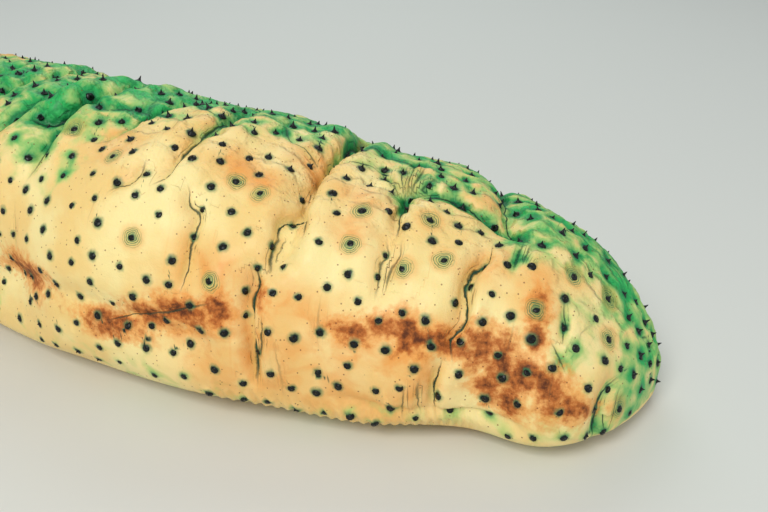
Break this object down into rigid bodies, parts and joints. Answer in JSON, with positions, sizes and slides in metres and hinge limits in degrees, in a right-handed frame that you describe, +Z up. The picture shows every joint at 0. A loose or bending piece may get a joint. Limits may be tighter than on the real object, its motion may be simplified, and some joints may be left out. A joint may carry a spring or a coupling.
{
  "type": "sea cucumber",
  "caption": "Stout sea cucumber at rest on its flat sole, the body gently bent, with deep creases and small pointed papillae",
  "frame": {"origin": "middle of the bounding box at floor level", "axes": "+Z is up, the mouth end points towards +X and a little towards -Y, and the rear end curves back towards -X and +Y"},
  "size_m": [0.3539, 0.2454, 0.0911],
  "materials": {
    "skin": "soft, damp body wall, cream and tan with a green back and dark spots",
    "sole": "soft, damp pale underside with tube feet",
    "tentacles": "soft dark brown"
  },
  "bodies": {
    "root": {"front_end": "skin", "body_front": "skin", "body_middle": "skin", "body_rear": "skin", "rear_end": "skin", "sole_front": "sole", "sole_middle": "sole", "sole_rear": "sole", "mouth_disc": "tentacles"}
  },
  "joints": []
}
